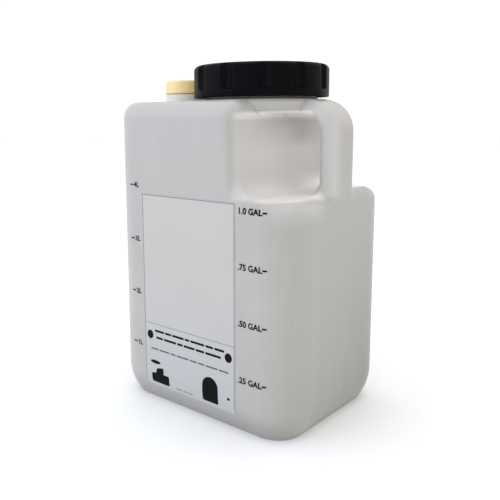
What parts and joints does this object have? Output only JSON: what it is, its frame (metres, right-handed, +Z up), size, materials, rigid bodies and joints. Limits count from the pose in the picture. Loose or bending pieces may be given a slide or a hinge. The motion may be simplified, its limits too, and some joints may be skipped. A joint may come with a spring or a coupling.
{
  "type": "suction canister",
  "caption": "Rectangular translucent blow-moulded canister with a moulded grip, a wide lobed black screw cap, a small yellow port cap and a printed front label.",
  "frame": {"origin": "centre of the footprint, on the plane that the canister stands on", "axes": "+Z up through the cap, +X towards the grip, -Y is the labelled front face"},
  "size_m": [0.1764, 0.1407, 0.2692],
  "materials": {
    "canister": "translucent natural polyethylene, satin",
    "label": "printed film, semi-matt",
    "cap": "moulded, satin",
    "cap_liner": "soft foam disc",
    "port_cap": "moulded, satin",
    "port_liner": "soft foam disc"
  },
  "bodies": {
    "canister": {"canister_body": "canister", "front_label": "label"},
    "cap_seal": {"cap_liner": "cap_liner"},
    "cap": {"screw_cap": "cap"},
    "port_seal": {"port_cap_liner": "port_liner"},
    "port_closure": {"port_cap": "port_cap"}
  },
  "joints": [
    {"name": "cap_lift", "type": "slide", "parent": "canister", "child": "cap_seal", "axis": [0, 0, 1], "range_m": [0, 0.00762]},
    {"name": "cap_turn", "type": "hinge", "parent": "cap_seal", "child": "cap", "pos_m": [0.0128, 0, 0.2448], "axis": [0, 0, 1], "range_deg": [0, 540]},
    {"name": "port_cap_lift", "type": "slide", "parent": "canister", "child": "port_seal", "axis": [0, 0, 1], "range_m": [0, 0.00424]},
    {"name": "port_cap_turn", "type": "hinge", "parent": "port_seal", "child": "port_closure", "pos_m": [-0.0665, 0, 0.2498], "axis": [0, 0, 1], "range_deg": [0, 360]}
  ],
  "couplings": [
    {"joint": "cap_lift", "follows": "cap_turn", "m_per_rad": 0.000808},
    {"joint": "port_cap_lift", "follows": "port_cap_turn", "m_per_rad": 0.000673}
  ]
}
